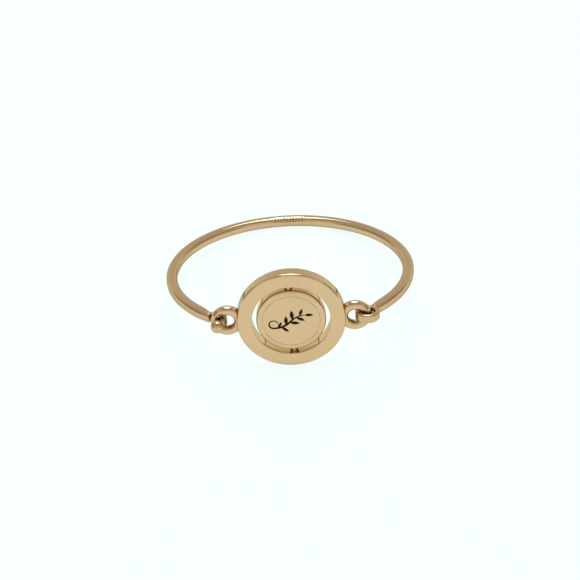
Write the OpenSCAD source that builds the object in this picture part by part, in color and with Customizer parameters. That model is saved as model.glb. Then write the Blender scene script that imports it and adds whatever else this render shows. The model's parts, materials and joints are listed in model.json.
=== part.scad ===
// Charm bangle lying on its side: a sprung wire hoop, open at the front,
// hooked to a round charm whose inner disc spins on two pins.
// Millimetres. The floor is z = 0 and the wearer's hand passes through the
// hoop from below. The charm is at the front, towards -Y.

/* [Hoop] */
// Radius of the hoop, to the middle of the wire
hoop_r = 29.5; // [29:0.1:30]
// Width of the wire, across the hoop
wire_w = 2.8; // [2.6:0.1:3]
// Height of the wire, along the wrist
wire_h = 2.8; // [2.6:0.1:3]
// Corner radius of the wire, which is nearly round
wire_corner = 1.2; // [1:0.05:1.25]
// Distance from the hoop's middle forward to the middle of the charm
charm_reach = 24.5; // [24:0.1:25]
// Half of the hoop's front opening, as an angle from straight ahead
open_angle = 49; // [47:0.5:50]

/* [Hook and eye] */
// Radius of the hook's and the eye's ring, to the middle of their wire
ring_r = 2.3; // [2.2:0.05:2.35]
// Width of the flattened wire in the hook and the eye
ring_w = 1.2; // [1.15:0.05:1.3]
// Height of the flattened wire in the hook and the eye
ring_h = 2.2; // [2.1:0.1:2.3]
// Corner radius of that flattened wire
ring_corner = 0.55; // [0.4:0.05:0.55]
// Radius of the ball on the hook's tip
tip_ball_r = 1.55; // [1.4:0.05:1.6]
// Free play where each ring bears on its loop
link_gap = 0.38; // [0.34:0.02:0.44]

/* [Charm frame] */
// Outer radius of the charm's frame
frame_r = 12.8; // [12.6:0.1:13]
// Radius of the hole that the disc turns in
frame_hole_r = 9.25; // [9.05:0.1:9.45]
// Thickness of the charm
charm_t = 3.3; // [3:0.1:3.5]
// Rounding of the frame's outer edges
outer_round = 0.55; // [0.4:0.05:0.7]
// Rounding of the edges round the hole
inner_round = 0.2; // [0.1:0.05:0.3]
// Distance from the charm's middle to the middle of each side loop
loop_x = 15; // [15:0.1:15.2]
// Radius of a side loop, to the middle of its wire
loop_r = 2.75; // [2.7:0.05:2.85]
// Diameter of the side loops' wire
loop_wire = 2.3; // [2.2:0.02:2.34]

/* [Disc] */
// Radius of the spinning disc
disc_r = 8.2; // [8:0.1:8.4]
// Width of the sloping border on both faces of the disc
bevel_w = 1.2; // [0.9:0.1:1.5]
// Drop of that border from the face to the rim
bevel_d = 0.16; // [0.08:0.02:0.3]
// Rounding of the disc's rim
rim_round = 0.25; // [0.15:0.05:0.3]

/* [Pins] */
// Diameter of the two pivot pins
pin_d = 1.8; // [1.6:0.1:2]
// Turn of both pins in the charm, to the left at the top
pin_turn = 2.5; // [0:0.5:4]
// Radial play of a pin in the disc
pin_play = 0.05; // [0.03:0.01:0.08]
// Depth of a pin in the disc
pin_in_disc = 2.1; // [1.8:0.1:2.4]
// Depth of a pin in the frame
pin_in_frame = 1.6; // [1.2:0.1:2]

/* [Engraving] */
// Width of the sprig's stem at its thickest
stem_w = 0.52; // [0.45:0.01:0.62]
// Width of the stem where it runs out
stem_thin = 0.22; // [0.18:0.01:0.28]
// Turn of the sprig on the disc
sprig_turn = 27; // [0:1:40]
// Depth of the engraved lines
engrave_d = 0.3; // [0.2:0.05:0.4]
// Distance of the black filling below the face
fill_drop = 0.05; // [0.02:0.01:0.1]

/* [Rest] */
// Backward lean of the charm as it stands on its rim
lean = 7; // [5:0.5:9]

/* [Hidden] */
$fn = 64;

// A hair's play between pieces that are seated in each other
seat_play = 0.02;
// Play past the end of a pin
end_play = 0.1;
// Width and height of the wire where it is soldered to its ring
neck_w = 1.6;
neck_h = 2.2;
// Where the hook starts and ends round its ring: 0 points away from the
// charm, 90 to the back and 270 to the front
hook_start = 51.5;
hook_end = 258;
// How far the tip's ball stands forward of the hook's wire
ball_out = 0.7;

// Half thickness of the charm, and of the disc at its rim
half_t = charm_t / 2;
rim_half = half_t - bevel_d;

// Middle of each ring, in the hoop's own plane, for the right hand side
bearing_x = loop_x + loop_r - loop_wire / 2 - link_gap;
ring_x = bearing_x - ring_w / 2 + ring_r;
ring_y = -charm_reach;

// The straight neck leaves the hoop's arc along its tangent and runs
// until its middle line meets the middle line of the ring
neck_x = hoop_r * sin(open_angle);
neck_y = -hoop_r * cos(open_angle);
to_neck = [neck_x - ring_x, neck_y - ring_y];
along = to_neck[0] * cos(open_angle) + to_neck[1] * sin(open_angle);
neck_l = along - sqrt(pow(along, 2) - pow(to_neck[0], 2)
                      - pow(to_neck[1], 2) + pow(ring_r, 2));

// Height of the charm's middle when it leans on its rounded back edge
charm_z = (frame_r - outer_round) * cos(lean)
        + (half_t - outer_round) * sin(lean) + outer_round;

// Slope of the hoop: its back lies on the floor, its front hangs in the
// charm's loops
core_r = hoop_r + wire_w / 2 - wire_corner;
core_h = wire_h / 2 - wire_corner;
span = core_r + charm_reach;
incline = asin((charm_z - wire_corner) / sqrt(pow(span, 2) + pow(core_h, 2)))
        - atan2(core_h, span);
hoop_z = core_r * sin(incline) + core_h * cos(incline) + wire_corner;

// The origin is under the middle of the whole outline
back_reach = core_r * cos(incline) + core_h * sin(incline) + wire_corner;
ball_y = -(ring_r + ball_out);
front_reach = (charm_reach - ball_y) * cos(incline) + tip_ball_r;
hoop_y = (front_reach - back_reach) / 2;
charm_y = hoop_y - charm_reach * cos(incline);

// Place of the sprig on the disc
sprig_move = [0.1, -0.1];

// The stem is drawn through three arcs that share their tangents: a curl,
// a hollow and a crown
stem_r = 5;
curl_r = 1.05;
hollow_mid = [-2.2, 4.75];
curl_at = 240;
join_at = 292;
tip_at = 68;
curl_mid = hollow_mid + (stem_r - curl_r) * heading(curl_at);
crown_mid = hollow_mid + 2 * stem_r * heading(join_at);
STEM = concat(
    [for (a = [curl_at - 250:25:curl_at - 25]) curl_mid + curl_r * heading(a)],
    [for (a = [curl_at:6.5:join_at - 6.5]) hollow_mid + stem_r * heading(a)],
    [for (a = [join_at - 180:-5.5:tip_at]) crown_mid + stem_r * heading(a)]
);

// Leaves of the sprig: the middle of the arc that each grows from, its
// place on the arc, its direction and its length
LEAF_MID = 0;
LEAF_AT = 1;
LEAF_TURN = 2;
LEAF_LEN = 3;
LEAVES = [
    [hollow_mid, 252, 52, 1.9],
    [hollow_mid, 262, -58, 2.2],
    [hollow_mid, 276, 56, 2.5],
    [hollow_mid, 288, -52, 2.5],
    [crown_mid, 104, 54, 2.6],
    [crown_mid, 92, -54, 2.3],
    [crown_mid, 82, 52, 2.1],
    [crown_mid, 69, -8, 2.2],
];
leaf_slim = 0.34;
leaf_steps = 8;

// Direction at an angle
function heading(a) = [cos(a), sin(a)];

// Cross section of a wire with rounded corners
module wire_section(w, h, corner) {
    for (side = [-1, 1], end = [-1, 1])
        translate([side * (w / 2 - corner), end * (h / 2 - corner)])
            circle(corner);
    square([w - 2 * corner, h], center = true);
    square([w, h - 2 * corner], center = true);
}

// Half cross section of a flat ring, with its own rounding inside and out
module band_section(r_in, r_out, half_h, round_in, round_out) {
    for (end = [-1, 1]) {
        translate([r_in + round_in, end * (half_h - round_in)]) circle(round_in);
        translate([r_out - round_out, end * (half_h - round_out)]) circle(round_out);
    }
    translate([r_in + round_in, -half_h])
        square([r_out - r_in - round_in - round_out, 2 * half_h]);
    translate([r_in, -half_h + round_in])
        square([2 * round_in, 2 * (half_h - round_in)]);
    translate([r_out - 2 * round_out, -half_h + round_out])
        square([2 * round_out, 2 * (half_h - round_out)]);
}

// Puts a shape drawn in the hoop's plane where the hoop lies
module in_hoop_plane() {
    translate([0, hoop_y, hoop_z]) rotate([-incline, 0, 0]) children();
}

// Puts a shape drawn on the charm's face where the charm stands: x to the
// right, y up the face, z out of the front
module on_charm() {
    translate([0, charm_y, charm_z]) rotate([90 - lean, 0, 0]) children();
}

// Puts a cylinder on the pins' line, at a distance from the charm's middle:
// turn is 0 for the top pin and 180 for the bottom one
module along_pin(turn, start) {
    rotate([0, 0, pin_turn + turn]) translate([0, start, 0]) rotate([-90, 0, 0])
        children();
}

// Straight neck that narrows the hoop's wire down to a ring
module neck() {
    rotate([0, 0, open_angle - 90]) translate([hoop_r, 0, 0]) rotate([90, 0, 0])
        linear_extrude(height = neck_l, scale = [neck_w / wire_w, neck_h / wire_h],
                       slices = 1, $fn = 32)
            wire_section(wire_w - seat_play, wire_h - seat_play, wire_corner);
}

// Arc of the flattened wire round a ring's middle
module ring_arc(from, to) {
    rotate([0, 0, from]) rotate_extrude(angle = to - from)
        translate([ring_r, 0]) wire_section(ring_w, ring_h, ring_corner);
}

// Rounded shoulder that hides the end of the hook's wire in the neck
module shoulder() {
    rotate([0, 0, hook_start]) translate([ring_r, 0, 0]) {
        cylinder(h = neck_h - neck_w, r = neck_w / 2, center = true);
        for (end = [-1, 1])
            translate([0, 0, end * (neck_h - neck_w) / 2]) sphere(neck_w / 2);
    }
}

// Wire hoop with an open hook on the left and a closed eye on the right
module hoop() {
    color("#c9a168") in_hoop_plane() {
        rotate([0, 0, open_angle - 90]) rotate_extrude(angle = 360 - 2 * open_angle)
            translate([hoop_r, 0]) wire_section(wire_w, wire_h, wire_corner);
        neck();
        translate([ring_x, ring_y, 0]) ring_arc(0, 360);
        mirror([1, 0, 0]) {
            neck();
            translate([ring_x, ring_y, 0]) {
                shoulder();
                ring_arc(hook_start, hook_end);
                rotate([0, 0, hook_end - 270]) translate([0, ball_y, 0])
                    sphere(tip_ball_r);
            }
        }
    }
}

// Round frame with its two side loops and the sockets for the pins
module charm_frame() {
    color("#d8b67a") on_charm() difference() {
        union() {
            rotate_extrude()
                band_section(frame_hole_r, frame_r, half_t, inner_round, outer_round);
            for (side = [-1, 1])
                translate([side * loop_x, 0, 0]) rotate_extrude()
                    translate([loop_r, 0]) circle(d = loop_wire);
        }
        for (turn = [0, 180])
            along_pin(turn, frame_hole_r - 1)
                cylinder(h = 1 + pin_in_frame + seat_play, d = pin_d + 2 * seat_play);
    }
}

// Half cross section of the disc, with a sloping border on both faces
module disc_section() {
    flat_r = disc_r - bevel_w;
    edge_r = disc_r - rim_round;
    polygon([
        [0, -half_t], [flat_r, -half_t], [edge_r, -rim_half],
        [edge_r, rim_half], [flat_r, half_t], [0, half_t],
    ]);
    translate([edge_r - rim_round, -rim_half + rim_round])
        square([2 * rim_round, 2 * (rim_half - rim_round)]);
    for (end = [-1, 1])
        translate([edge_r, end * (rim_half - rim_round)]) circle(rim_round);
}

// Disc with a bore for each pin and the engraved sprig on its front
module spinner_disc() {
    color("#d8b67a") on_charm() difference() {
        rotate_extrude() disc_section();
        for (turn = [0, 180])
            along_pin(turn, disc_r - pin_in_disc - end_play)
                cylinder(h = pin_in_disc + end_play + 1, d = pin_d + 2 * pin_play);
        translate([0, 0, half_t - engrave_d]) linear_extrude(height = engrave_d + 1)
            sprig(seat_play);
    }
}

// Pin from the frame's socket into the disc's bore
module pivot_pin(turn) {
    color("#b98f57") on_charm() along_pin(turn, disc_r - pin_in_disc)
        cylinder(h = pin_in_disc + frame_hole_r - disc_r + pin_in_frame, d = pin_d);
}

module pivot_pin_top() {
    pivot_pin(0);
}

module pivot_pin_bottom() {
    pivot_pin(180);
}

// Direction across a line of points, at one of them
function across(line, i) =
    let (d = line[min(i + 1, len(line) - 1)] - line[max(i - 1, 0)])
    [-d[1], d[0]] / norm(d);

// Half the stem's width: thin at both ends and thick two thirds along
function stem_half(i) =
    let (t = i / (len(STEM) - 1))
    (stem_thin + (stem_w - stem_thin) * pow(sin(180 * pow(t, 1.3)), 1.5)) / 2;

// Pointed leaf that starts at the origin and grows along x
module leaf(length, width) {
    function rim(i, side) = [
        length * i / leaf_steps, side * width / 2 * sin(180 * i / leaf_steps)
    ];
    polygon([
        for (i = [0:leaf_steps]) rim(i, 1),
        for (i = [leaf_steps - 1:-1:1]) rim(i, -1),
    ]);
}

// Leafy sprig with an S shaped stem; grow widens every line of it
module sprig(grow) {
    last = len(STEM) - 1;
    rotate([0, 0, sprig_turn]) translate(sprig_move) {
        polygon([
            for (i = [0:last]) STEM[i] + across(STEM, i) * (stem_half(i) + grow),
            for (i = [last:-1:0]) STEM[i] - across(STEM, i) * (stem_half(i) + grow),
        ]);
        for (row = LEAVES) {
            onward = row[LEAF_MID] == hollow_mid ? 90 : -90;
            turn = row[LEAF_AT] + onward + row[LEAF_TURN];
            root = row[LEAF_MID] + stem_r * heading(row[LEAF_AT]);
            translate(root - grow * heading(turn)) rotate([0, 0, turn])
                leaf(row[LEAF_LEN] + 2 * grow, leaf_slim * row[LEAF_LEN] + 2 * grow);
        }
    }
}

// Black filling of the engraved lines
module engraving_fill() {
    color("#16110d") on_charm()
        translate([0, 0, half_t - engrave_d + seat_play])
            linear_extrude(height = engrave_d - seat_play - fill_drop) sprig(0);
}

hoop();
charm_frame();
spinner_disc();
pivot_pin_top();
pivot_pin_bottom();
engraving_fill();
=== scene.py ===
"""Looks of a charm bangle: a gold plated wire hoop hooked to a round charm whose disc spins.

Each sub-assembly is a class that holds its own sizes and builds its pieces round the fixed
frame. Shapes are drawn in millimetres on the plane that they belong to, the hoop's or the
charm's, and are put in place in metres at the end.
"""

import json
import logging
import math
from dataclasses import dataclass, field
from enum import Enum

import bpy
import numpy as np
from mathutils import Matrix, Vector


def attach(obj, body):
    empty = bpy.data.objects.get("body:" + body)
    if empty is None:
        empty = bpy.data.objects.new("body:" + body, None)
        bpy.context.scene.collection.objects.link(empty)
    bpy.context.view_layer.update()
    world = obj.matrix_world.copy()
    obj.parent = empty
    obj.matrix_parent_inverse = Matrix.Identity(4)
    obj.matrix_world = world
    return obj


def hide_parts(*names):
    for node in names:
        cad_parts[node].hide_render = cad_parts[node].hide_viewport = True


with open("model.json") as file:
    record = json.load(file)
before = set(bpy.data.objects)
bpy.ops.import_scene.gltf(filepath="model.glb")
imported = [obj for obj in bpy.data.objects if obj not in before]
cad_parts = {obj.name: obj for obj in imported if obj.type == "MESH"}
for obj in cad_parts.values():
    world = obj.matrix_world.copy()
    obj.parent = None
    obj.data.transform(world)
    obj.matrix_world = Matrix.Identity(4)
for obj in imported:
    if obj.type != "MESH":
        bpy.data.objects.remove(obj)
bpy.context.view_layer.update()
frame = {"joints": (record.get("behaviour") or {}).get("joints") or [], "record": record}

LOG = logging.getLogger("charm_bangle")
MM = 0.001
IMAGE_PX = 580

# Faces round the charm's frame and disc, round a loop or ring, and round a pin or ball
CHARM_STEPS = 256
LOOP_STEPS = 96
PIN_STEPS = 64
# How far a cutter reaches past the surface, and how near a wall's faces lie to its radius,
# both in millimetres
OVERCUT = 1.0
NEAR = 0.05

Object = bpy.types.Object
Points = np.ndarray


class Side(Enum):
    """The two ends of the hoop's wire, by the sign of their place along X."""

    HOOK = -1
    EYE = 1


class Cut(Enum):
    """Ways of combining two solids."""

    JOIN = "UNION"
    TAKE_AWAY = "DIFFERENCE"


class Bend(Enum):
    """The two long arcs of the sprig's stem, by the way that they turn."""

    HOLLOW = 1
    CROWN = -1


# Planes of the part


@dataclass(frozen=True)
class Plane:
    """A flat working plane: x to the right, y along up and z out of the plane.

    Attributes:
        origin: Middle of the plane in the part's frame, in metres.
        up: Direction of the plane's y.
    """

    origin: Vector
    up: Vector

    @property
    def matrix(self) -> Matrix:
        """Turns millimetres on the plane into metres in the part's frame.

        Returns:
            The matrix that places a shape drawn on the plane.
        """
        right = Vector((1, 0, 0))
        up = self.up.normalized()
        out = right.cross(up)
        turn = Matrix((right, up, out)).transposed().to_4x4()
        return Matrix.Translation(self.origin) @ turn @ Matrix.Scale(MM, 4)


def mount(name: str) -> dict:
    """The record's entry of a mount."""
    return next(m for m in frame["record"]["mounts"] if m["name"] == name)


def spin_joint() -> dict:
    """The frame's entry of the joint that the disc spins on."""
    return next(j for j in frame["joints"] if j["name"] == "disc_spin")


def charm_plane() -> Plane:
    """The charm's middle plane: y runs up the leaning charm and z out of its front."""
    up = Vector((1, 0, 0)).cross(Vector(mount("charm_back")["axis"]))
    return Plane(Vector(spin_joint()["pos_m"]), up)


def hoop_plane() -> Plane:
    """The hoop's middle plane: y runs to the hoop's back, which lies on the floor."""
    wrist = mount("wrist")
    return Plane(Vector(wrist["pos_m"]), Vector(wrist["axis"]).cross(Vector((1, 0, 0))))


def pin_turn(charm: Plane) -> float:
    """Turn of the pins' line from the charm's y, in degrees counter-clockwise."""
    axis = Vector(spin_joint()["axis"])
    return math.degrees(math.atan2(-axis.x, axis.dot(charm.up.normalized())))


# Shapes


def eased(t: float | Points) -> float | Points:
    """Runs from 0 to 1 with a level start and end."""
    t = np.clip(t, 0, 1)
    return t * t * (3 - 2 * t)


def heading(degrees: float) -> Points:
    """Direction in a plane at an angle from its x."""
    return np.array([math.cos(math.radians(degrees)), math.sin(math.radians(degrees))])


def rounded_section(width: float, height: float, corner: float, steps: int) -> Points:
    """Outline of a wire's cross section with round corners.

    Args:
        width: Size across the hoop.
        height: Size along the wrist.
        corner: Radius of the corners.
        steps: Points round each corner.

    Returns:
        The outline's points, counter-clockwise from the outer side.
    """
    points = []
    for quarter in range(4):
        middle = heading(45 + 90 * quarter)
        centre = np.sign(middle) * np.array([width / 2 - corner, height / 2 - corner])
        for k in range(steps):
            points.append(centre + corner * heading(90 * (quarter + k / (steps - 1))))
    return np.array(points)


def ring_outline(inner: float, outer: float, half: float, round_in: float, round_out: float,
                 steps: int) -> Points:
    """Cross section of a flat ring, as points of radius and height.

    Args:
        inner: Radius of the hole.
        outer: Radius of the outside.
        half: Half of the thickness.
        round_in: Rounding of the edges at the hole.
        round_out: Rounding of the outer edges.
        steps: Points round each edge.

    Returns:
        The outline's points, counter-clockwise.
    """
    corners = [
        (outer - round_out, half - round_out, round_out, 0),
        (inner + round_in, half - round_in, round_in, 90),
        (inner + round_in, round_in - half, round_in, 180),
        (outer - round_out, round_out - half, round_out, 270),
    ]
    points = []
    for radius, height, edge, start in corners:
        middle = np.array([radius, height])
        for k in range(steps):
            points.append(middle + edge * heading(start + 90 * k / (steps - 1)))
    return np.array(points)


def added(name: str, data: bpy.types.ID) -> Object:
    """Adds an object that shows a mesh, a lamp or a lens to the scene.

    Args:
        name: Name of the new object.
        data: What it shows.

    Returns:
        The new object.
    """
    thing = bpy.data.objects.new(name, data)
    bpy.context.scene.collection.objects.link(thing)
    return thing


def lofted(name: str, rings: Points, closed: bool) -> Object:
    """Joins a row of equal rings of points into one closed surface.

    Args:
        name: Name of the new object.
        rings: Points as an array of rings, points and coordinates.
        closed: True if the last ring meets the first, and False for a flat cap at each end.

    Returns:
        The new object.
    """
    count, around = rings.shape[:2]
    faces = []
    for i in range(count if closed else count - 1):
        j = (i + 1) % count
        for k in range(around):
            m = (k + 1) % around
            faces.append((i * around + k, i * around + m, j * around + m, j * around + k))
    if not closed:
        faces.append(tuple(reversed(range(around))))
        faces.append(tuple((count - 1) * around + k for k in range(around)))
    mesh = bpy.data.meshes.new(name)
    mesh.from_pydata(rings.reshape(-1, 3).tolist(), [], faces)
    mesh.validate()
    piece = added(name, mesh)
    if volume(piece) < 0:
        mesh.flip_normals()
    return piece


def volume(piece: Object) -> float:
    """Signed volume inside a closed surface, which is negative if it is inside out.

    Args:
        piece: The object with the surface.

    Returns:
        The volume.
    """
    mesh = piece.data
    mesh.calc_loop_triangles()
    points = np.array([v.co for v in mesh.vertices], float)
    corners = points[np.array([t.vertices for t in mesh.loop_triangles])]
    crossed = np.cross(corners[:, 1], corners[:, 2])
    return float(np.einsum("ij,ij->", corners[:, 0], crossed) / 6)


def turned(name: str, outline: Points, turns: int, loop: bool) -> Object:
    """Turns an outline of radius and height round the plane's z.

    Args:
        name: Name of the new object.
        outline: Points of radius and height.
        turns: Steps in the full turn.
        loop: True for a closed outline, and False for one that runs from cap to cap.

    Returns:
        The new object.
    """
    angles = np.linspace(0, 2 * math.pi, turns, endpoint=False)
    rings = np.array([
        [(r * math.cos(a), r * math.sin(a), z) for r, z in outline] for a in angles
    ])
    if loop:
        return lofted(name, rings, closed=True)
    return lofted(name, rings.transpose(1, 0, 2), closed=False)


def swept(name: str, path: Points, across: Points, sections: Points, closed: bool) -> Object:
    """Sweeps changing cross sections along a path that lies in the plane.

    Args:
        name: Name of the new object.
        path: Points of the path, as x and y.
        across: Direction of each section's width at each point.
        sections: One outline of width and height for each point.
        closed: True if the path is a loop.

    Returns:
        The new object.
    """
    rings = np.zeros((len(path), sections.shape[1], 3))
    rings[:, :, :2] = path[:, None] + sections[:, :, :1] * across[:, None]
    rings[:, :, 2] = sections[:, :, 1]
    return lofted(name, rings, closed)


def ball(name: str, centre: tuple[float, float, float], radius: float) -> Object:
    """A round ball, as a turned half circle with a tiny flat at each pole.

    Args:
        name: Name of the new object.
        centre: Middle of the ball.
        radius: Radius of the ball.

    Returns:
        The new object.
    """
    pole_deg = 2
    rise = np.linspace(pole_deg, 180 - pole_deg, PIN_STEPS // 2)
    outline = np.array([radius * heading(a)[::-1] for a in rise])
    piece = turned(name, outline, PIN_STEPS, loop=False)
    piece.data.transform(Matrix.Translation(centre))
    return piece


def rod(name: str, radius: float, start: float, end: float, turn: float) -> Object:
    """A straight pin through the plane's middle line, with a small chamfer at both ends.

    Args:
        name: Name of the new object.
        radius: Radius of the pin.
        start: Where it starts along its line.
        end: Where it ends.
        turn: Turn of its line from the plane's y, in degrees.

    Returns:
        The new object.
    """
    chamfer = 0.1
    outline = np.array([(radius - chamfer, start), (radius, start + chamfer),
                        (radius, end - chamfer), (radius - chamfer, end)])
    piece = turned(name, outline, PIN_STEPS, loop=False)
    piece.data.transform(Matrix.Rotation(math.radians(turn), 4, "Z")
                         @ Matrix.Rotation(math.radians(-90), 4, "X"))
    return piece


def rod_pair(name: str, radius: float, start: float, end: float, turn: float) -> list[Object]:
    """Two pins in one line, one above and one below the plane's middle.

    Args:
        name: Name of the pair, which each pin's name starts with.
        radius: Radius of a pin.
        start: Distance from the middle at which each starts.
        end: Distance at which it ends.
        turn: Turn of their line from the plane's y, in degrees.

    Returns:
        The upper and the lower pin.
    """
    return [rod(f"{name}_top", radius, start, end, turn),
            rod(f"{name}_bottom", radius, -end, -start, turn)]


def extruded(name: str, outline: Points, low: float, high: float) -> Object:
    """A flat outline raised between two heights.

    Args:
        name: Name of the new object.
        outline: Points of the outline, as x and y.
        low: Height of its underside.
        high: Height of its top.

    Returns:
        The new object.
    """
    rings = np.zeros((2, len(outline), 3))
    rings[:, :, :2] = outline
    rings[0, :, 2] = low
    rings[1, :, 2] = high
    return lofted(name, rings, closed=False)


# Work on meshes


def settled(piece: Object) -> Object:
    """Makes an object's modifiers part of its mesh.

    Args:
        piece: The object.

    Returns:
        The same object.
    """
    graph = bpy.context.evaluated_depsgraph_get()
    mesh = bpy.data.meshes.new_from_object(
        piece.evaluated_get(graph), preserve_all_data_layers=True, depsgraph=graph
    )
    old = piece.data
    piece.modifiers.clear()
    piece.data = mesh
    bpy.data.meshes.remove(old)
    return piece


def combined(piece: Object, others: list[Object], cut: Cut) -> Object:
    """Joins other solids to a piece, or cuts them out of it.

    Args:
        piece: The solid that is kept.
        others: Solids that are used up.
        cut: Whether they are joined or taken away.

    Returns:
        The piece.
    """
    for other in others:
        step = piece.modifiers.new(cut.value, "BOOLEAN")
        step.operation = cut.value
        step.solver = "MANIFOLD"
        step.object = other
        settled(piece)
        bpy.data.meshes.remove(other.data)
    return piece


def fused(pieces: list[Object], voxel: float, rounds: int) -> Object:
    """Solders solids into one skin with soft inner corners.

    Args:
        pieces: Solids that overlap, of which the first is kept.
        voxel: Grain of the new skin.
        rounds: Passes of smoothing over the skin.

    Returns:
        The soldered piece.
    """
    piece = combined(pieces[0], pieces[1:], Cut.JOIN)
    skin = piece.modifiers.new("skin", "REMESH")
    skin.mode = "VOXEL"
    skin.voxel_size = voxel
    skin.use_smooth_shade = True
    soften = piece.modifiers.new("soften", "SMOOTH")
    soften.factor = 0.5
    soften.iterations = rounds
    return settled(piece)


def shaded(piece: Object, sharp_deg: float) -> Object:
    """Shades a turned piece so that its flat faces stay flat and its edges roll smoothly.

    Args:
        piece: The piece.
        sharp_deg: Angle between faces above which an edge is crisp.

    Returns:
        The piece.
    """
    piece.data.shade_smooth()
    piece.data.set_sharp_from_angle(angle=math.radians(sharp_deg))
    even = piece.modifiers.new("even", "WEIGHTED_NORMAL")
    even.keep_sharp = True
    return settled(piece)


# Finishes

# Blender numbers the sockets of a colour mix: its share, both colours and the result
SHARE, FIRST, SECOND, MIXED = 0, 6, 7, 2


def linear(hex_colour: str) -> tuple[float, float, float, float]:
    """Turns an sRGB colour such as #D5BB8F into linear light with full alpha."""
    shares = [int(hex_colour[i:i + 2], 16) / 255 for i in (1, 3, 5)]
    return (*[s / 12.92 if s <= 0.04045 else ((s + 0.055) / 1.055) ** 2.4 for s in shares], 1.0)


def add_node(tree: bpy.types.NodeTree, kind: str, settings: dict | None = None,
             inputs: dict | None = None) -> bpy.types.Node:
    """Adds a node to a material or world, with its settings and links.

    Args:
        tree: Node tree that it goes in.
        kind: Blender's name for the kind of node.
        settings: Values of the node's own properties.
        inputs: For each socket, a value, or another node's output to link to it.

    Returns:
        The new node.
    """
    node = tree.nodes.new(kind)
    for name, value in (settings or {}).items():
        setattr(node, name, value)
    for socket, value in (inputs or {}).items():
        if isinstance(value, bpy.types.NodeSocket):
            tree.links.new(value, node.inputs[socket])
        else:
            node.inputs[socket].default_value = value
    return node


def empty_material(name: str) -> bpy.types.Material:
    """Makes a material whose node tree is empty.

    Args:
        name: Name of the material.

    Returns:
        The new material.
    """
    material = bpy.data.materials.new(name)
    material.use_nodes = True
    material.node_tree.nodes.clear()
    return material


@dataclass(frozen=True)
class PolishedPlate:
    """Brass plated with pale gold and buffed on a soft wheel.

    The buffed plate mirrors its surroundings, a little softened, in its own warm tone. The
    wheel leaves a faint haze of hairlines, and the plate is a shade deeper in places. Shade is
    painted into its colour in corners and close to whatever it rests on, where ambient
    occlusion finds a neighbour.

    Attributes:
        name: Name of the material.
        tone: Colour of most of the plate.
        deep_tone: Colour where the plate is a shade deeper.
        edge_tone: Share of the light that the plate mirrors where it turns away.
        patch_mm: Size of the deeper patches.
        hairline_mm: Spacing of the buffing lines, drawn wider than real so that they show.
        hairline_run: How many times longer than wide the lines are.
        gloss: Lowest and highest roughness.
        relief_mm: Depth of the hairlines.
        painted_shade_mm: Distance to a neighbour within which shade is painted into the colour.
        painted_shade_min: Brightness of the colour left under the deepest painted shade, in a
            closed
        corner.
    """

    name: str
    tone: str = "#DCBB92"
    deep_tone: str = "#D6B388"
    edge_tone: str = "#9C9E8A"
    patch_mm: float = 5.0
    hairline_mm: float = 0.16
    hairline_run: float = 14.0
    gloss: tuple[float, float] = (0.05, 0.1)
    relief_mm: float = 0.0003
    painted_shade_mm: float = 2.5
    painted_shade_min: float = 0.58

    def build(self) -> bpy.types.Material:
        """Makes the material.

        Returns:
            The new material.
        """
        material = empty_material(self.name)
        tree = material.node_tree
        place = add_node(tree, "ShaderNodeTexCoord")
        patches = add_node(tree, "ShaderNodeTexNoise", inputs={
            "Vector": place.outputs["Object"], "Scale": 1 / (self.patch_mm * MM), "Detail": 2.0,
        })
        tones = add_node(tree, "ShaderNodeMix", {"data_type": "RGBA"}, {
            SHARE: patches.outputs["Fac"], FIRST: linear(self.tone),
            SECOND: linear(self.deep_tone),
        })
        # Painted shade: ambient occlusion darkens the colour in corners and near the floor
        painted_shade_ao = add_node(tree, "ShaderNodeAmbientOcclusion", {"samples": 8}, {
            "Distance": self.painted_shade_mm * MM,
        })
        shade = add_node(tree, "ShaderNodeMapRange", inputs={
            "Value": painted_shade_ao.outputs["AO"], "To Min": self.painted_shade_min, "To Max": 1.0,
        })
        tones_with_painted_shade = add_node(tree, "ShaderNodeMix", {
            "data_type": "RGBA", "blend_type": "MULTIPLY",
        }, {SHARE: 1.0, FIRST: tones.outputs[MIXED], SECOND: shade.outputs["Result"]})
        stretch = add_node(tree, "ShaderNodeMapping", inputs={
            "Vector": place.outputs["Object"],
            "Scale": (1, self.hairline_run, self.hairline_run),
        })
        hairlines = add_node(tree, "ShaderNodeTexNoise", inputs={
            "Vector": stretch.outputs["Vector"],
            "Scale": 1 / (self.hairline_mm * self.hairline_run * MM), "Detail": 3.0,
        })
        haze = add_node(tree, "ShaderNodeMapRange", inputs={
            "Value": hairlines.outputs["Fac"], "From Min": 0.3, "From Max": 0.7,
            "To Min": self.gloss[0], "To Max": self.gloss[1],
        })
        relief = add_node(tree, "ShaderNodeBump", inputs={
            "Height": hairlines.outputs["Fac"], "Distance": self.relief_mm * MM,
        })
        metal = add_node(tree, "ShaderNodeBsdfPrincipled", inputs={
            "Base Color": tones_with_painted_shade.outputs[MIXED], "Metallic": 1.0,
            "Roughness": haze.outputs["Result"], "Normal": relief.outputs["Normal"],
            "Specular Tint": linear(self.edge_tone),
        })
        add_node(tree, "ShaderNodeOutputMaterial", inputs={"Surface": metal.outputs["BSDF"]})
        return material


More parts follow.
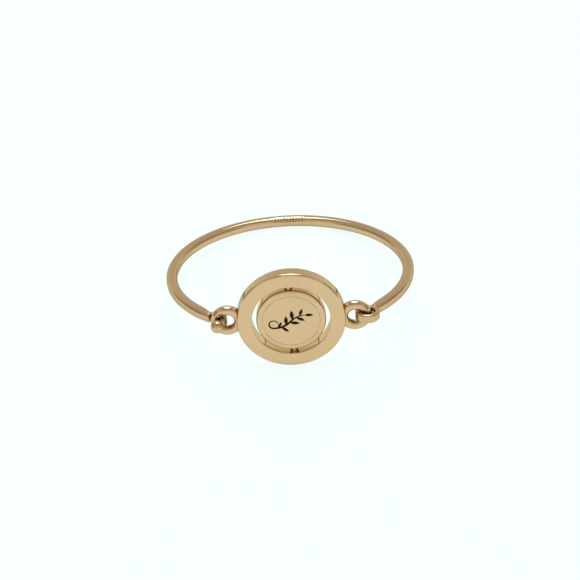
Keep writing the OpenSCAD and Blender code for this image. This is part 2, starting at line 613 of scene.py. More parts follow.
@dataclass(frozen=True)
class CuredEnamel:
    """Black enamel wiped into the engraved lines and cured.

    It reads as a warm, nearly matt black, a shade browner where it lies thin.

    Attributes:
        name: Name of the material.
        tone: Colour of the enamel.
        thin_tone: Colour where it lies thin.
        grain_mm: Size of its unevenness.
        roughness: Roughness of the cured surface.
        shine: Share of a plain enamel's shine that wiping left on it.
    """

    name: str = "black_enamel_wiped_and_cured"
    tone: str = "#140804"
    thin_tone: str = "#2C190E"
    grain_mm: float = 0.5
    roughness: float = 0.45
    shine: float = 0.08

    def build(self) -> bpy.types.Material:
        """Makes the material.

        Returns:
            The new material.
        """
        material = empty_material(self.name)
        tree = material.node_tree
        place = add_node(tree, "ShaderNodeTexCoord")
        grain = add_node(tree, "ShaderNodeTexNoise", inputs={
            "Vector": place.outputs["Object"], "Scale": 1 / (self.grain_mm * MM), "Detail": 2.0,
        })
        tones = add_node(tree, "ShaderNodeMix", {"data_type": "RGBA"}, {
            SHARE: grain.outputs["Fac"], FIRST: linear(self.tone),
            SECOND: linear(self.thin_tone),
        })
        enamel = add_node(tree, "ShaderNodeBsdfPrincipled", inputs={
            "Base Color": tones.outputs[MIXED], "Roughness": self.roughness,
            "Specular IOR Level": self.shine,
        })
        add_node(tree, "ShaderNodeOutputMaterial", inputs={"Surface": enamel.outputs["BSDF"]})
        return material


# Drawn and buffed wire, which looks warm along its middle and greyer at its edges, with deeper
# painted shade where it lies close to the floor
WIRE_GOLD = PolishedPlate("gold_plated_wire_drawn_and_buffed", tone="#D4B48D",
                          deep_tone="#CCAA80", edge_tone="#C8C8B4", painted_shade_min=0.45)
# Turned and buffed brass, whose flat faces look pale and even
CHARM_GOLD = PolishedPlate("gold_plated_brass_turned_and_buffed", edge_tone="#CCD0BE")
# Walls of the hole and of the disc's rim, a paler copy of the gold as painted light, with only
# a little painted shade in the gap
PAINTED_LIGHT_WALL_GOLD = PolishedPlate("gold_plated_wall_painted_lighter", tone="#E6CBA0", deep_tone="#DFC294",
                         edge_tone="#E0D4BC", painted_shade_min=0.85)
# Small turned pins, a browner and darker gold as painted shade for their place deep in the gap
SHADED_PIN_GOLD = PolishedPlate("gold_plated_pin_turned_painted_shade", tone="#C9A873", deep_tone="#BF9A62")


def installed(piece: Object, plane: Plane, body: str, material: bpy.types.Material,
              nodes: tuple[str, ...]) -> Object:
    """Puts a finished piece in its place on the part.

    Args:
        piece: The piece, in millimetres on its plane.
        plane: The plane that it was drawn on.
        body: Body that it moves with.
        material: Its finish.
        nodes: Names of the plain solids that it stands for.

    Returns:
        The piece.
    """
    piece.data.transform(plane.matrix)
    piece.data.materials.clear()
    piece.data.materials.append(material)
    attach(piece, body)
    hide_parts(*nodes)
    return piece


def paint_lighter_walls(piece: Object, plane: Plane, radii: tuple[float, float],
               material: bpy.types.Material) -> None:
    """Gives the walls of a round piece between two radii a finish of their own: a paler gold, as
    painted light.

    Args:
        piece: The installed piece.
        plane: The plane that it was drawn on.
        radii: Smallest and largest distance of such a wall from the plane's middle.
        material: The finish of the walls, a paler gold as painted light.
    """
    # Painted light: the upright walls get the paler gold
    flat_from = 0.8
    to_plane = plane.matrix.inverted()
    out = plane.matrix.to_3x3().col[2].normalized()
    piece.data.materials.append(material)
    for face in piece.data.polygons:
        middle = to_plane @ face.center
        upright = abs(face.normal.dot(out)) < flat_from
        if upright and radii[0] < math.hypot(middle.x, middle.y) < radii[1]:
            face.material_index = 1


# The hoop


@dataclass
class StampedTicks:
    """A row of plain punched ticks inside the hoop's back.

    Attributes:
        count: Number of ticks.
        pitch: Distance between them along the wire.
        width: Width of each tick along the wire.
        tall: Height of the long ticks round the wire.
        short: Height of the short ticks.
        long_every: Step from one long tick to the next.
        depth: Depth of the ticks.
        edge: Width of the slope at the edges of the ticks.
        panel: Length and height of the stamped flat.
        panel_depth: How far the punch's block pressed the wire.
        panel_fade: Width over which the flat runs out round the wire.
        lean_deg: Angle of the row's middle round the wire, up from its inner side.
    """

    count: int = 10
    pitch: float = 0.82
    width: float = 0.3
    tall: float = 1.1
    short: float = 0.75
    long_every: int = 3
    depth: float = 0.14
    edge: float = 0.1
    panel: tuple[float, float] = (8.8, 1.7)
    panel_depth: float = 0.05
    panel_fade: float = 0.4
    lean_deg: float = 37

    @property
    def reach(self) -> tuple[float, float]:
        """Distances along and round the wire within which it is pressed."""
        return self.panel[0] / 2 + self.panel_fade, self.panel[1] / 2 + self.panel_fade

    def pressed(self, along: float, round_wire: float) -> float:
        """Depth that the punch pressed at a point.

        Args:
            along: Distance along the wire from the hoop's back.
            round_wire: Distance round the wire from the row's middle.

        Returns:
            The depth in millimetres.
        """
        row = self.pitch * (self.count - 1)
        tick = round((along + row / 2) / self.pitch)
        near = min(max(tick, 0), self.count - 1)
        off = abs(along + row / 2 - near * self.pitch)
        height = self.tall if near % self.long_every == 0 else self.short
        mark = eased((self.width / 2 - off) / self.edge + 0.5)
        mark *= eased((height / 2 - abs(round_wire)) / self.edge + 0.5)
        flat = eased((self.panel[0] / 2 - abs(along)) / self.edge + 0.5)
        flat *= eased((self.panel[1] / 2 - abs(round_wire)) / self.panel_fade + 0.5)
        return float(self.depth * mark + self.panel_depth * flat)


@dataclass
class WireHoop:
    """The sprung wire hoop with its hook and its eye, soldered into one piece.

    Attributes:
        plane: The hoop's plane.
        radius: Radius to the middle of the wire.
        wire: Width, height and corner radius of the wire.
        neck: The same where the wire meets its ring.
        ring_wire: The same in the hook and the eye.
        open_deg: Half of the front opening, as an angle.
        ring_x: Distance of each ring's middle to the side.
        ring_y: Place of each ring's middle along y, forward of the hoop's middle.
        ring_radius: Radius of the rings to the middle of their wire.
        neck_length: Length of the neck that narrows the wire down to its ring.
        neck_start: Share of that length over which the wire is still full.
        lap: Shares of that length between which the wire and the neck's end overlap.
        sink: How far the neck's end starts below the wire's skin.
        swell: How much it grows from there, and over what length.
        hook_span: Where the hook starts and ends round its ring, in degrees.
        shoulder: Length of the round end that the hook leaves its neck from.
        tip_radius: Radius of the ball on the hook's tip.
        tip_out: How far the ball stands forward of the ring's wire.
        solder_grain: Grain of the skin that is laid over a soldered joint.
        solder_rounds: Passes of smoothing over that skin.
        wire_steps: Points round each corner of the wire.
        ring_steps: Points round each corner of a ring's wire.
        stamp: The ticks punched inside the back.
    """

    plane: Plane
    radius: float = 29.5
    wire: tuple[float, float, float] = (2.8, 2.8, 1.2)
    neck: tuple[float, float, float] = (2.0, 2.5, 0.95)
    ring_wire: tuple[float, float, float] = (1.2, 2.2, 0.55)
    open_deg: float = 49
    ring_x: float = 17.92
    ring_y: float = -24.5
    ring_radius: float = 2.3
    neck_length: float = 4.44
    neck_start: float = 0.15
    lap: tuple[float, float] = (0.3, 0.6)
    sink: float = 0.1
    swell: tuple[float, float] = (0.12, 0.3)
    hook_span: tuple[float, float] = (51.5, 258)
    shoulder: float = 0.7
    tip_radius: float = 1.55
    tip_out: float = 0.7
    solder_grain: float = 0.07
    solder_rounds: int = 5
    wire_steps: int = 16
    ring_steps: int = 10
    stamp: StampedTicks = field(default_factory=StampedTicks)

    def section(self, taper: float, grow: float = 0.0) -> Points:
        """Cross section of the wire, somewhere between the full wire and the neck.

        Args:
            taper: 0 for the full wire and 1 for the neck.
            grow: How far the outline is moved outward.

        Returns:
            The outline's points.
        """
        width, height, corner = (a + (b - a) * taper for a, b in zip(self.wire, self.neck))
        return rounded_section(width + 2 * grow, height + 2 * grow, corner, self.wire_steps)

    def taper(self, lengths: Points) -> Points:
        """How far the wire has narrowed, at distances from the end of the hoop's arc."""
        return eased((lengths / self.neck_length - self.neck_start) / (1 - self.neck_start))

    def neck_line(self, side: Side, lengths: Points) -> tuple[Points, Points]:
        """Middle line of a neck, which runs on straight from the end of the hoop's arc.

        Args:
            side: Which end of the wire.
            lengths: Distances from the arc's end.

        Returns:
            The points, and the outward direction at each.
        """
        out = heading(self.open_deg - 90) * np.array([side.value, 1])
        along = heading(self.open_deg - 180) * np.array([side.value, 1])
        path = self.radius * out + np.outer(lengths, along)
        return path, np.tile(out, (len(lengths), 1))

    def arc_line(self) -> tuple[Points, Points]:
        """Middle line of the hoop's arc from right to left, with more points at the stamp.

        Returns:
            The points, and the outward direction at each.
        """
        coarse, fine = 120, 160
        stamp_deg = math.degrees(self.stamp.reach[0] / self.radius)
        angles = np.concatenate([
            np.linspace(self.open_deg, 180 - stamp_deg, coarse, endpoint=False),
            np.linspace(180 - stamp_deg, 180 + stamp_deg, fine, endpoint=False),
            np.linspace(180 + stamp_deg, 360 - self.open_deg, coarse + 1),
        ])
        out = np.array([heading(a - 90) for a in angles])
        return self.radius * out, out

    def wire_arc(self) -> Object:
        """The hoop's wire with the upper part of both necks and the stamp.

        Returns:
            The wire.
        """
        steps = 24
        lengths = np.linspace(0, self.lap[1] * self.neck_length, steps)[1:]
        right, right_out = self.neck_line(Side.EYE, lengths[::-1])
        left, left_out = self.neck_line(Side.HOOK, lengths)
        arc, arc_out = self.arc_line()
        path = np.concatenate([right, arc, left])
        out = np.concatenate([right_out, arc_out, left_out])
        taper = self.taper(lengths)
        tapers = np.concatenate([taper[::-1], np.zeros(len(arc)), taper])
        sections = np.array([self.section(t) for t in tapers])
        turns = np.degrees(np.arctan2(arc[:, 0], -arc[:, 1])) % 360 - 180
        along = np.radians(turns) * self.radius
        self.press_stamp(sections[len(right):len(right) + len(arc)], along)
        return swept("hoop_wire", path, out, sections, closed=False)

    def press_stamp(self, sections: Points, along: Points) -> None:
        """Presses the ticks into the sections at the hoop's back.

        Args:
            sections: The arc's sections, changed in place.
            along: Distance of each section from the hoop's back.
        """
        lean = 180 - self.stamp.lean_deg
        along_reach, round_reach = self.stamp.reach
        for section, distance in zip(sections, along):
            if abs(distance) > along_reach:
                continue
            for k, point in enumerate(section):
                from_middle = float(np.hypot(*point))
                angle = math.degrees(math.atan2(point[1], point[0]))
                round_wire = math.radians(angle - lean) * from_middle
                if abs(round_wire) < round_reach:
                    depth = self.stamp.pressed(float(distance), round_wire)
                    section[k] = point * (1 - depth / from_middle)

    def neck_end(self, side: Side) -> Object:
        """The lower part of a neck, with a round end where the hook leaves it.

        It starts just below the wire's skin and comes out a hair above it, so that the wire
        hides its start.

        Args:
            side: Which end of the wire.

        Returns:
            The part of the neck.
        """
        steps, dome_steps = 48, 14
        lengths = np.linspace(self.lap[0] * self.neck_length, self.neck_length, steps)
        if side is Side.HOOK:
            # From the foot of the round end to just short of its top
            dome_deg = np.linspace(6, 88, dome_steps)
            past = self.shoulder * np.sin(np.radians(dome_deg))
            lengths = np.concatenate([lengths, self.neck_length + past])
        path, out = self.neck_line(side, lengths)
        growth, run = self.swell
        swell = eased((lengths - lengths[0]) / run) * growth - self.sink
        narrowed = np.array([self.section(t, g) for t, g in zip(self.taper(lengths), swell)])
        share = np.clip((lengths - self.neck_length) / self.shoulder, 0, 1)
        sections = narrowed * np.sqrt(1 - share ** 2)[:, None, None]
        return swept(f"neck_{side.name}", path, out, sections, closed=False)

    def ring(self, side: Side, span: tuple[float, float]) -> Object:
        """The flattened wire of a hook or an eye.

        Args:
            side: Which end of the wire.
            span: Where the wire starts and ends round the ring, in degrees.

        Returns:
            The ring, closed if it spans a full turn.
        """
        closed = span[1] - span[0] >= 360
        count = LOOP_STEPS if closed else LOOP_STEPS + 1
        mirror = np.array([side.value, 1])
        angles = np.linspace(*span, count, endpoint=not closed)
        out = np.array([heading(a) for a in angles]) * mirror
        path = np.array([self.ring_x, self.ring_y]) * mirror + self.ring_radius * out
        section = rounded_section(*self.ring_wire, self.ring_steps)
        sections = np.tile(section, (count, 1, 1))
        return swept(f"ring_{side.name}", path, out, sections, closed)

    def eye(self) -> Object:
        """The closed eye at the right, soldered to its neck."""
        parts = [self.ring(Side.EYE, (0, 360)), self.neck_end(Side.EYE)]
        return fused(parts, self.solder_grain, self.solder_rounds)

    def hook(self) -> Object:
        """The open hook at the left, with the ball on its tip.

        Returns:
            The hook, soldered to its neck and its ball.
        """
        middle = np.array([-self.ring_x, self.ring_y])
        tip = middle + (self.ring_radius + self.tip_out) * heading(180 - self.hook_span[1])
        bead = ball("bead", (*tip, 0), self.tip_radius)
        ring = self.ring(Side.HOOK, self.hook_span)
        parts = [ring, self.neck_end(Side.HOOK), bead]
        return fused(parts, self.solder_grain, self.solder_rounds)

    def build(self, material: bpy.types.Material) -> Object:
        """Builds the hoop and puts it in place.

        Args:
            material: Finish of the hoop.

        Returns:
            The hoop.
        """
        piece = combined(self.wire_arc(), [self.eye(), self.hook()], Cut.JOIN)
        piece.name = "plated_wire_hoop"
        piece.data.shade_smooth()
        return installed(piece, self.plane, "hoop", material, ("hoop",))


# The charm


@dataclass
class CharmFrame:
    """The round frame with its two side loops and the sockets of the pins.

    Attributes:
        plane: The charm's plane.
        pin_turn: Turn of the pins' line, in degrees.
        radius: Outer radius.
        hole_radius: Radius of the hole that the disc turns in.
        thickness: Thickness of the charm.
        outer_round: Rounding of the outer edges.
        inner_round: Rounding of the edges at the hole.
        loop_x: Distance of each side loop's middle from the charm's middle.
        loop_radius: Radius of a loop to the middle of its wire.
        loop_wire: Diameter of the loops' wire.
        socket_radius: Radius of the sockets.
        socket_depth: Depth of the sockets.
        edge_steps: Points round each rolled edge.
        wire_steps: Points round the loops' wire.
        crisp_deg: Angle above which an edge is crisp.
    """

    plane: Plane
    pin_turn: float
    radius: float = 12.8
    hole_radius: float = 9.25
    thickness: float = 3.3
    outer_round: float = 0.55
    inner_round: float = 0.2
    loop_x: float = 15.0
    loop_radius: float = 2.75
    loop_wire: float = 2.3
    socket_radius: float = 0.92
    socket_depth: float = 1.62
    edge_steps: int = 12
    wire_steps: int = 40
    crisp_deg: float = 35

    def side_loop(self, side: Side) -> Object:
        """A round wire loop, soldered to the frame's side.

        Args:
            side: Which side of the frame.

        Returns:
            The loop.
        """
        outline = np.array([
            np.array([self.loop_radius, 0]) + self.loop_wire / 2 * heading(a)
            for a in np.linspace(0, 360, self.wire_steps, endpoint=False)
        ])
        loop = turned(f"loop_{side.name}", outline, LOOP_STEPS, loop=True)
        loop.data.transform(Matrix.Translation((side.value * self.loop_x, 0, 0)))
        return loop

    def build(self, material: bpy.types.Material, wall: bpy.types.Material) -> Object:
        """Builds the frame and puts it in place.

        Args:
            material: Finish of the frame.
            wall: Finish of the hole's wall, a paler gold as painted light.

        Returns:
            The frame.
        """
        outline = ring_outline(self.hole_radius, self.radius, self.thickness / 2,
                               self.inner_round, self.outer_round, self.edge_steps)
        piece = turned("plated_charm_frame", outline, CHARM_STEPS, loop=True)
        combined(piece, [self.side_loop(side) for side in Side], Cut.JOIN)
        sockets = rod_pair("socket", self.socket_radius, self.hole_radius - OVERCUT,
                           self.hole_radius + self.socket_depth, self.pin_turn)
        combined(piece, sockets, Cut.TAKE_AWAY)
        shaded(piece, self.crisp_deg)
        installed(piece, self.plane, "charm", material, ("charm_frame",))
        # The hole's wall gets the paler gold, as painted light
        radii = (self.hole_radius - NEAR, self.hole_radius + self.inner_round + NEAR)
        paint_lighter_walls(piece, self.plane, radii, wall)
        return piece


@dataclass(frozen=True)
class Leaf:
    """One leaf of the sprig.

    Attributes:
        bend: The arc of the stem that it grows from.
        place: Its place on that arc, in degrees.
        turn: Its turn from the stem's direction, in degrees.
        length: Its length.
    """

    bend: Bend
    place: float
    turn: float
    length: float


@dataclass
class Sprig:
    """A leafy sprig with an S shaped stem, which is drawn through three arcs.

    Attributes:
        stem_radius: Radius of the stem's hollow and crown.
        curl_radius: Radius of the curl that it starts with.
        curl_turn: How far the curl turns, in degrees.
        hollow: Middle of the hollow's arc.
        curl_deg: Where the curl meets the hollow, as an angle round the hollow.
        join_deg: Where the hollow meets the crown.
        tip_deg: Where the crown ends, as an angle round its own middle.
        stem_width: Width of the stem at its thickest and where it runs out.
        stem_swell: Powers that move its thickest place to the tip and slim both ends.
        turn_deg: Turn of the sprig on the disc.
        shift: Move of the sprig on the disc.
        leaf_slim: Width of a leaf as a share of its length.
        leaves: The leaves, from the curl to the tip.
    """

    stem_radius: float = 5.0
    curl_radius: float = 1.05
    curl_turn: float = 250
    hollow: tuple[float, float] = (-2.2, 4.75)
    curl_deg: float = 240
    join_deg: float = 292
    tip_deg: float = 68
    stem_width: tuple[float, float] = (0.52, 0.22)
    stem_swell: tuple[float, float] = (1.3, 1.5)
    turn_deg: float = 27
    shift: tuple[float, float] = (0.1, -0.1)
    leaf_slim: float = 0.34
    leaves: tuple[Leaf, ...] = (
        Leaf(Bend.HOLLOW, 252, 52, 1.9),
        Leaf(Bend.HOLLOW, 262, -58, 2.2),
        Leaf(Bend.HOLLOW, 276, 56, 2.5),
        Leaf(Bend.HOLLOW, 288, -52, 2.5),
        Leaf(Bend.CROWN, 104, 54, 2.6),
        Leaf(Bend.CROWN, 92, -54, 2.3),
        Leaf(Bend.CROWN, 82, 52, 2.1),
        Leaf(Bend.CROWN, 69, -8, 2.2),
    )

    @property
    def crown(self) -> Points:
        """Middle of the crown's arc."""
        return np.array(self.hollow) + 2 * self.stem_radius * heading(self.join_deg)

    def stem_line(self) -> Points:
        """Middle line of the stem from the curl to the tip.

        Returns:
            The line's points.
        """
        curl_steps, arc_steps = 40, 24
        hollow = np.array(self.hollow)
        curl = hollow + (self.stem_radius - self.curl_radius) * heading(self.curl_deg)
        arcs = [
            (curl, self.curl_radius, self.curl_deg - self.curl_turn, self.curl_deg, curl_steps),
            (hollow, self.stem_radius, self.curl_deg, self.join_deg, arc_steps),
            (self.crown, self.stem_radius, self.join_deg - 180, self.tip_deg, arc_steps),
        ]
        return np.array([
            middle + radius * heading(a) for middle, radius, start, end, count in arcs
            for a in np.linspace(start, end, count, endpoint=False)
        ])

    def stem_outline(self, grow: float) -> Points:
        """Outline of the stem, thick in its middle and thin at both ends.

        Args:
            grow: How far the outline is moved outward.

        Returns:
            The outline's points.
        """
        line = self.stem_line()
        run = np.gradient(line, axis=0)
        across = np.stack([-run[:, 1], run[:, 0]], axis=1)
        across /= np.linalg.norm(run, axis=1)[:, None]
        step = np.linalg.norm(np.diff(line, axis=0), axis=1)
        share = np.concatenate([[0], np.cumsum(step)]) / step.sum()
        thick, thin = self.stem_width
        shift, slim = self.stem_swell
        half = (thin + (thick - thin) * np.sin(math.pi * share ** shift) ** slim) / 2 + grow
        offset = across * half[:, None]
        return np.concatenate([line + offset, (line - offset)[::-1]])

    def leaf_outline(self, leaf: Leaf, grow: float) -> Points:
        """Outline of one pointed leaf.

        Args:
            leaf: The leaf.
            grow: How far its outline is moved outward.

        Returns:
            The outline's points.
        """
        steps = 25
        middle = np.array(self.hollow) if leaf.bend is Bend.HOLLOW else self.crown
        way = heading(leaf.place + 90 * leaf.bend.value + leaf.turn)
        across = np.array([-way[1], way[0]])
        root = middle + self.stem_radius * heading(leaf.place) - grow * way
        t = np.linspace(0, 1, steps)
        half = (self.leaf_slim * leaf.length / 2 + grow) * np.sin(math.pi * t)
        spine = root + np.outer(t * (leaf.length + 2 * grow), way)
        offset = np.outer(half, across)
        return np.concatenate([spine + offset, (spine - offset)[-2:0:-1]])

    def outlines(self, grow: float) -> list[Points]:
        """Outlines of the stem and of each leaf, in their place on the disc.

        Args:
            grow: How far each outline is moved outward.

        Returns:
            The outlines, the stem's first.
        """
        cos, sin = heading(self.turn_deg)
        turn = np.array([[cos, sin], [-sin, cos]])
        flat = [self.stem_outline(grow), *[self.leaf_outline(leaf, grow) for leaf in self.leaves]]
        return [(points + np.array(self.shift)) @ turn for points in flat]

    def solid(self, name: str, grow: float, low: float, high: float) -> Object:
        """The whole sprig as one solid between two heights."""
        parts = [extruded(name, outline, low, high) for outline in self.outlines(grow)]
        return combined(parts[0], parts[1:], Cut.JOIN)


@dataclass
class SpinnerDisc:
    """The disc that spins inside the frame, with its engraved sprig.

    Attributes:
        plane: The charm's plane.
        pin_turn: Turn of the pins' line, in degrees.
        radius: Radius of the rim.
        thickness: Thickness at the middle.
        bevel: Width and drop of the sloping border.
        rim_round: Rounding of the rim.
        crest: Rounding where the flat meets the border.
        line: Width and depth of the turned line inside the border.
        bore_radius: Radius of the bores for the pins.
        bore_depth: Depth of those bores.
        engraving_depth: Depth of the engraved lines.
        fill_drop: Distance of the black filling below the face.
        play: A hair's play round the filling.
        crest_steps: Points round the crest.
        rim_steps: Points round each half of the rim.
        crisp_deg: Angle above which an edge is crisp.
        sprig: The engraved sprig.
    """

    plane: Plane
    pin_turn: float
    radius: float = 8.2
    thickness: float = 3.3
    bevel: tuple[float, float] = (1.2, 0.16)
    rim_round: float = 0.55
    crest: float = 0.35
    line: tuple[float, float] = (0.14, 0.05)
    bore_radius: float = 0.95
    bore_depth: float = 2.2
    engraving_depth: float = 0.3
    fill_drop: float = 0.05
    play: float = 0.02
    crest_steps: int = 4
    rim_steps: int = 10
    crisp_deg: float = 30
    sprig: Sprig = field(default_factory=Sprig)

    def outline(self) -> Points:
        """Half outline of the disc, from its front flat over the rim to its back flat.

        Returns:
            The outline's points of radius and height.
        """
        width, drop = self.bevel
        half = self.thickness / 2
        slope = math.degrees(math.atan2(drop, width))
        flat = self.radius - width
        crest_run = self.crest * math.tan(math.radians(slope / 2))
        front = [(flat - crest_run + self.crest * math.sin(math.radians(a)),
                  half - self.crest * (1 - math.cos(math.radians(a))))
                 for a in np.linspace(0, slope, self.crest_steps)]
        rim = np.array([self.radius - self.rim_round, half - drop - self.rim_round])
        front += [tuple(rim + self.rim_round * heading(a))
                  for a in np.linspace(90 - slope, 0, self.rim_steps)]
        cut, deep = self.line
        start = front[0][0] - cut
        front = [(start - cut, half), (start - cut / 2, half - deep), (start, half), *front]
        return np.array(front + [(r, -z) for r, z in reversed(front)])

    def build(self, material: bpy.types.Material, wall: bpy.types.Material,
              filling: bpy.types.Material) -> list[Object]:
        """Builds the disc and its filling and puts them in place.

        Args:
            material: Finish of the disc.
            wall: Finish of its rim, a paler gold as painted light.
            filling: Finish of the filled lines.

        Returns:
            The disc and the filling.
        """
        half = self.thickness / 2
        disc = turned("plated_spinner_disc", self.outline(), CHARM_STEPS, loop=False)
        bores = rod_pair("bore", self.bore_radius, self.radius - self.bore_depth,
                         self.radius + OVERCUT, self.pin_turn)
        floor = half - self.engraving_depth
        groove = self.sprig.solid("groove", self.play, floor, half + OVERCUT)
        combined(disc, [*bores, groove], Cut.TAKE_AWAY)
        shaded(disc, self.crisp_deg)
        fill = self.sprig.solid("enamel_filling", 0, floor + self.play, half - self.fill_drop)
        shaded(fill, self.crisp_deg)
        installed(disc, self.plane, "spinner", material, ("spinner_disc",))
        # The rim gets the paler gold, as painted light
        paint_lighter_walls(disc, self.plane, (self.radius - self.rim_round, self.radius + NEAR), wall)
        installed(fill, self.plane, "spinner", filling, ("engraving_fill",))
        return [disc, fill]


@dataclass
class PivotPins:
    """The two pins that the disc spins on, pressed into the frame.

    Attributes:
        plane: The charm's plane.
        pin_turn: Turn of the pins' line, in degrees.
        radius: Radius of a pin.
        start: Where a pin starts inside the disc, from the charm's middle.
        end: Where it ends inside the frame.
        crisp_deg: Angle above which an edge is crisp.
    """

    plane: Plane
    pin_turn: float
    radius: float = 0.9
    start: float = 6.1
    end: float = 10.85
    crisp_deg: float = 40

    def build(self, material: bpy.types.Material) -> list[Object]:
        """Builds both pins and puts them in place.

        Args:
            material: Finish of the pins, a darker gold with painted shade.

        Returns:
            The upper and the lower pin.
        """
        pins = rod_pair("plated_pin", self.radius, self.start, self.end, self.pin_turn)
        return [
            installed(shaded(pin, self.crisp_deg), self.plane, "charm", material,
                      (node,))
            for pin, node in zip(pins, ("pivot_pin_top", "pivot_pin_bottom"))
        ]


# Surroundings


@dataclass(frozen=True)
class Softbox:
    """A studio lamp behind white cloth, aimed at the bangle.

    Attributes:
        name: Name of the lamp.
        azimuth: Where it stands round the bangle, 0 at the camera's side and 90 to the right.
        elevation: Height above the floor, as an angle.
        distance: Distance from the bangle in metres.
        size: Width and height of the cloth in metres.
        radiance: Brightness of the cloth, where 1 is white paper in this light.
        colour: Colour of the light.
    """

    name: str
    azimuth: float
    elevation: float
    distance: float
    size: tuple[float, float]
    radiance: float
    colour: str = "#DCF2FF"

    def build(self) -> Object:
        """Hangs the lamp.

        Returns:
            The lamp.
        """
        lamp = bpy.data.lights.new(self.name, "AREA")
        lamp.shape = "RECTANGLE"
        lamp.size, lamp.size_y = self.size
        lamp.energy = self.radiance * math.pi * self.size[0] * self.size[1]
        lamp.color = linear(self.colour)[:3]
        stand = added(self.name, lamp)
        side, rise = math.radians(self.azimuth), math.radians(self.elevation)
        way = Vector((math.sin(side) * math.cos(rise), -math.cos(side) * math.cos(rise),
                      math.sin(rise)))
        stand.location = way * self.distance
        stand.rotation_mode = "QUATERNION"
        stand.rotation_quaternion = way.to_track_quat("Z", "Y")
        return stand


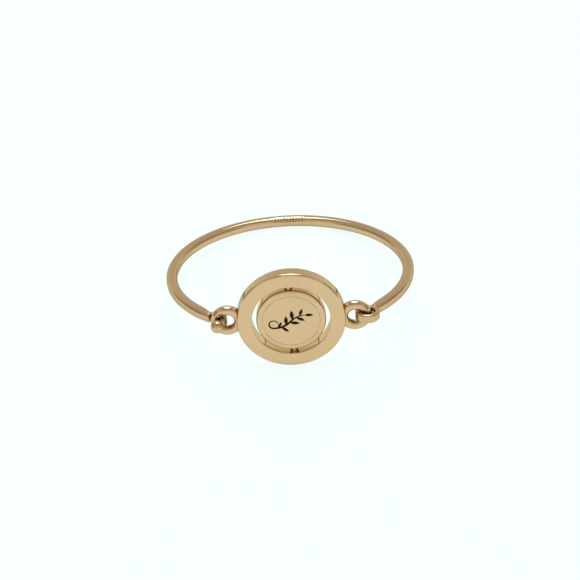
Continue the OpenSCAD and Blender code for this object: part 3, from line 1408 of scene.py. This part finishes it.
@dataclass
class Studio:
    """The pale floor, the soft light all round and the lamps.

    Attributes:
        floor_radius: Radius of the floor in metres.
        floor_tone: Colour of the light that the floor throws back.
        floor_glow: Colour of the lit sheet under it, which fills its shadows.
        glow: Brightness of that sheet.
        front_sky: Light from the camera's side: stops of height, colour and strength.
        back_sky: Light from behind the bangle, in the same way.
        blend: How far behind the bangle one sky starts to turn into the other, and ends.
        card_tone: Light that comes back from the grey cards at both sides.
        card_edge: Share of sideways view at which a card starts and is full.
        card_top: Height at which a card starts to fade and ends.
        lamps: The softboxes.
    """

    floor_radius: float = 3.0
    floor_tone: str = "#606464"
    floor_glow: str = "#F6FFFF"
    glow: float = 0.92
    front_sky: tuple[tuple[float, str, float], ...] = (
        (0.0, "#FFFCF4", 0.95),
        (0.5, "#FFFCF4", 0.88),
        (0.8, "#F3F4E8", 0.42),
        (1.0, "#F3F4E8", 0.42),
    )
    back_sky: tuple[tuple[float, str, float], ...] = (
        (0.0, "#FBFCFA", 0.92),
        (0.22, "#FBFCFA", 0.8),
        (0.5, "#FBFCFA", 0.65),
        (0.8, "#F8F8F4", 0.63),
        (1.0, "#F3F4E8", 0.45),
    )
    blend: tuple[float, float] = (-0.6, 0.6)
    card_tone: str = "#AAAAA2"
    card_edge: tuple[float, float] = (0.64, 0.84)
    card_top: tuple[float, float] = (0.42, 0.68)
    lamps: tuple[Softbox, ...] = (
        Softbox("softbox_left", 192, 69, 0.8, (0.3, 0.56), 3.4),
        Softbox("softbox_right", 160, 69, 0.8, (0.24, 0.56), 3.4),
    )

    def build_floor(self) -> Object:
        """Lays the floor, a matt pale sheet on a light table.

        Returns:
            The floor.
        """
        rim = [(*(self.floor_radius * heading(a)), 0)
               for a in np.linspace(0, 360, LOOP_STEPS, endpoint=False)]
        mesh = bpy.data.meshes.new("pale_floor")
        mesh.from_pydata(rim, [], [tuple(range(LOOP_STEPS))])
        floor = added("pale_floor", mesh)
        material = empty_material("white_acrylic_sheet_lit_from_below")
        tree = material.node_tree
        sheet = add_node(tree, "ShaderNodeBsdfDiffuse", inputs={
            "Color": linear(self.floor_tone),
        })
        glow = add_node(tree, "ShaderNodeEmission", inputs={
            "Color": linear(self.floor_glow), "Strength": self.glow,
        })
        both = add_node(tree, "ShaderNodeAddShader", inputs={
            0: sheet.outputs["BSDF"], 1: glow.outputs["Emission"],
        })
        add_node(tree, "ShaderNodeOutputMaterial", inputs={"Surface": both.outputs["Shader"]})
        mesh.materials.append(material)
        return floor

    @staticmethod
    def ramp(tree: bpy.types.NodeTree, height: bpy.types.NodeSocket,
             sky: tuple[tuple[float, str, float], ...]) -> bpy.types.NodeSocket:
        """Adds a ramp of light over height.

        Args:
            tree: Node tree of the world.
            height: Height above the horizon, 1 overhead.
            sky: Stops of height, colour and strength.

        Returns:
            The socket with the light's colour.
        """
        node = add_node(tree, "ShaderNodeValToRGB", inputs={"Fac": height})
        node.color_ramp.interpolation = "B_SPLINE"
        stops = node.color_ramp.elements
        # A new ramp has only two stops
        while len(stops) < len(sky):
            stops.new(0.5)
        for stop, (place, tone, strength) in zip(stops, sky):
            stop.position = place
            stop.color = [c * strength for c in linear(tone)[:3]] + [1.0]
        return node.outputs["Color"]

    def build_sky(self) -> None:
        """Lights the surroundings, bright low down and dim overhead, with cards at the sides."""
        world = bpy.data.worlds.new("soft_studio")
        world.use_nodes = True
        tree = world.node_tree
        tree.nodes.clear()
        way = add_node(tree, "ShaderNodeTexCoord")
        axes = add_node(tree, "ShaderNodeSeparateXYZ", inputs={0: way.outputs["Generated"]})
        behind = add_node(tree, "ShaderNodeMapRange", {"interpolation_type": "SMOOTHSTEP"}, {
            "Value": axes.outputs["Y"], "From Min": self.blend[0], "From Max": self.blend[1],
        })
        sky = add_node(tree, "ShaderNodeMix", {"data_type": "RGBA"}, {
            SHARE: behind.outputs["Result"],
            FIRST: self.ramp(tree, axes.outputs["Z"], self.front_sky),
            SECOND: self.ramp(tree, axes.outputs["Z"], self.back_sky),
        })
        sideways = add_node(tree, "ShaderNodeMath", {"operation": "ABSOLUTE"}, {
            0: axes.outputs["X"],
        })
        aside = add_node(tree, "ShaderNodeMapRange", {"interpolation_type": "SMOOTHSTEP"}, {
            "Value": sideways.outputs[0], "From Min": self.card_edge[0],
            "From Max": self.card_edge[1],
        })
        low = add_node(tree, "ShaderNodeMapRange", {"interpolation_type": "SMOOTHSTEP"}, {
            "Value": axes.outputs["Z"], "From Min": self.card_top[0],
            "From Max": self.card_top[1], "To Min": 1.0, "To Max": 0.0,
        })
        card = add_node(tree, "ShaderNodeMath", {"operation": "MULTIPLY"}, {
            0: aside.outputs["Result"], 1: low.outputs["Result"],
        })
        room = add_node(tree, "ShaderNodeMix", {"data_type": "RGBA"}, {
            SHARE: card.outputs[0], FIRST: sky.outputs[MIXED], SECOND: linear(self.card_tone),
        })
        light = add_node(tree, "ShaderNodeBackground", inputs={"Color": room.outputs[MIXED]})
        add_node(tree, "ShaderNodeOutputWorld", inputs={"Surface": light.outputs["Background"]})
        bpy.context.scene.world = world

    def build(self) -> None:
        """Builds the floor, the light all round and the lamps."""
        self.build_floor()
        self.build_sky()
        for lamp in self.lamps:
            lamp.build()
        bpy.context.scene.view_settings.view_transform = "Standard"
        bpy.context.scene.view_settings.look = "None"
        LOG.info("studio: floor and %d lamps", len(self.lamps))


@dataclass
class Viewpoint:
    """The camera, from the front and above, as the photograph was taken.

    Attributes:
        target: The hoop's middle, in metres.
        elevation: Angle of the view above the floor.
        azimuth: Angle by which the camera stands to the right of the bangle's front.
        roll: Turn of the camera about its view.
        distance: Distance to the hoop's middle along the view, in metres.
        offset: Place of the hoop's middle in the view, to the right and up, in metres.
        focal_px: Focal length in pixels of the square image.
    """

    target: Vector
    elevation: float = 39.8
    azimuth: float = 0.75
    roll: float = 3.0
    distance: float = 0.35
    offset: tuple[float, float] = (0.0, 0.00494)
    focal_px: float = 1399.0

    def build(self) -> Object:
        """Sets up the camera.

        Returns:
            The camera.
        """
        lens = bpy.data.cameras.new("view")
        lens.sensor_width = 36.0
        lens.lens = self.focal_px / IMAGE_PX * lens.sensor_width
        lens.clip_start = 0.01
        camera = added("view", lens)
        rise, roll = math.radians(self.elevation), math.radians(self.roll)
        side = math.radians(self.azimuth)
        level = Vector((math.cos(side), math.sin(side), 0))
        ahead = Vector((-math.sin(side), math.cos(side), 0))
        forward = ahead * math.cos(rise) - Vector((0, 0, math.sin(rise)))
        upright = ahead * math.sin(rise) + Vector((0, 0, math.cos(rise)))
        right = level * math.cos(roll) - upright * math.sin(roll)
        up = upright * math.cos(roll) + level * math.sin(roll)
        turn = Matrix((right, up, -forward)).transposed().to_4x4()
        place = (self.target - forward * self.distance - right * self.offset[0]
                 - up * self.offset[1])
        camera.matrix_world = Matrix.Translation(place) @ turn
        bpy.context.scene.camera = camera
        return camera


def main() -> None:
    """Builds the studio and every piece of the bangle, and reports each piece."""
    logging.basicConfig(level=logging.INFO, format="%(name)s: %(message)s")
    hoop, charm = hoop_plane(), charm_plane()
    turn = pin_turn(charm)
    Viewpoint(hoop.origin).build()
    Studio().build()
    wire_gold, charm_gold = WIRE_GOLD.build(), CHARM_GOLD.build()
    painted_light_gold, shaded_pin_gold = PAINTED_LIGHT_WALL_GOLD.build(), SHADED_PIN_GOLD.build()
    pieces = [
        WireHoop(hoop).build(wire_gold),
        CharmFrame(charm, turn).build(charm_gold, painted_light_gold),
        *SpinnerDisc(charm, turn).build(charm_gold, painted_light_gold, CuredEnamel().build()),
        *PivotPins(charm, turn).build(shaded_pin_gold),
    ]
    for piece in pieces:
        LOG.info("%s: %d faces of %s", piece.name, len(piece.data.polygons),
                 piece.data.materials[0].name)


if __name__ == "__main__":
    main()
